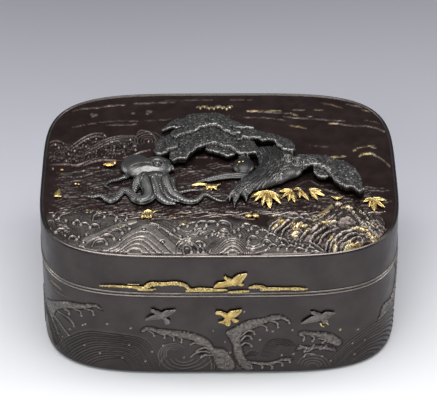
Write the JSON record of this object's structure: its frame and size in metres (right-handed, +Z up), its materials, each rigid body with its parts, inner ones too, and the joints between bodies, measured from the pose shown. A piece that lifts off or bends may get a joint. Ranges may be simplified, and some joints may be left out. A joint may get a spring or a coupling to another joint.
{
  "type": "decorative box",
  "caption": "Low metal box with bowed sides and a lift-off lid, carved with waves and set with an octopus, a pine tree and birds in relief.",
  "frame": {"origin": "centre of the underside, on the surface that the box stands on", "axes": "+X to the right along the width, +Y from the front with the birds to the back, +Z up through the lid"},
  "size_m": [0.1214, 0.0978, 0.0526],
  "materials": {
    "dark_metal": "satin dark brown-black patina on a copper alloy",
    "pale_grey_metal": "satin mid grey patina on a silver and copper alloy",
    "dark_grey_metal": "finely textured dark grey patina on a silver and copper alloy",
    "gold_metal": "bright gold, lightly worn"
  },
  "bodies": {
    "root": {"base": "dark_metal", "lid": "dark_metal", "octopus": "pale_grey_metal", "pine_tree": "dark_grey_metal", "bamboo_grass_left": "gold_metal", "bamboo_grass_middle": "gold_metal", "bamboo_grass_right": "gold_metal", "gold_leaf": "gold_metal", "gold_crab_left": "gold_metal", "gold_crab_middle": "gold_metal", "gold_shoreline": "gold_metal", "plover_lid": "gold_metal", "plover_middle": "gold_metal", "plover_left": "dark_grey_metal", "plover_right": "dark_grey_metal"}
  },
  "joints": []
}
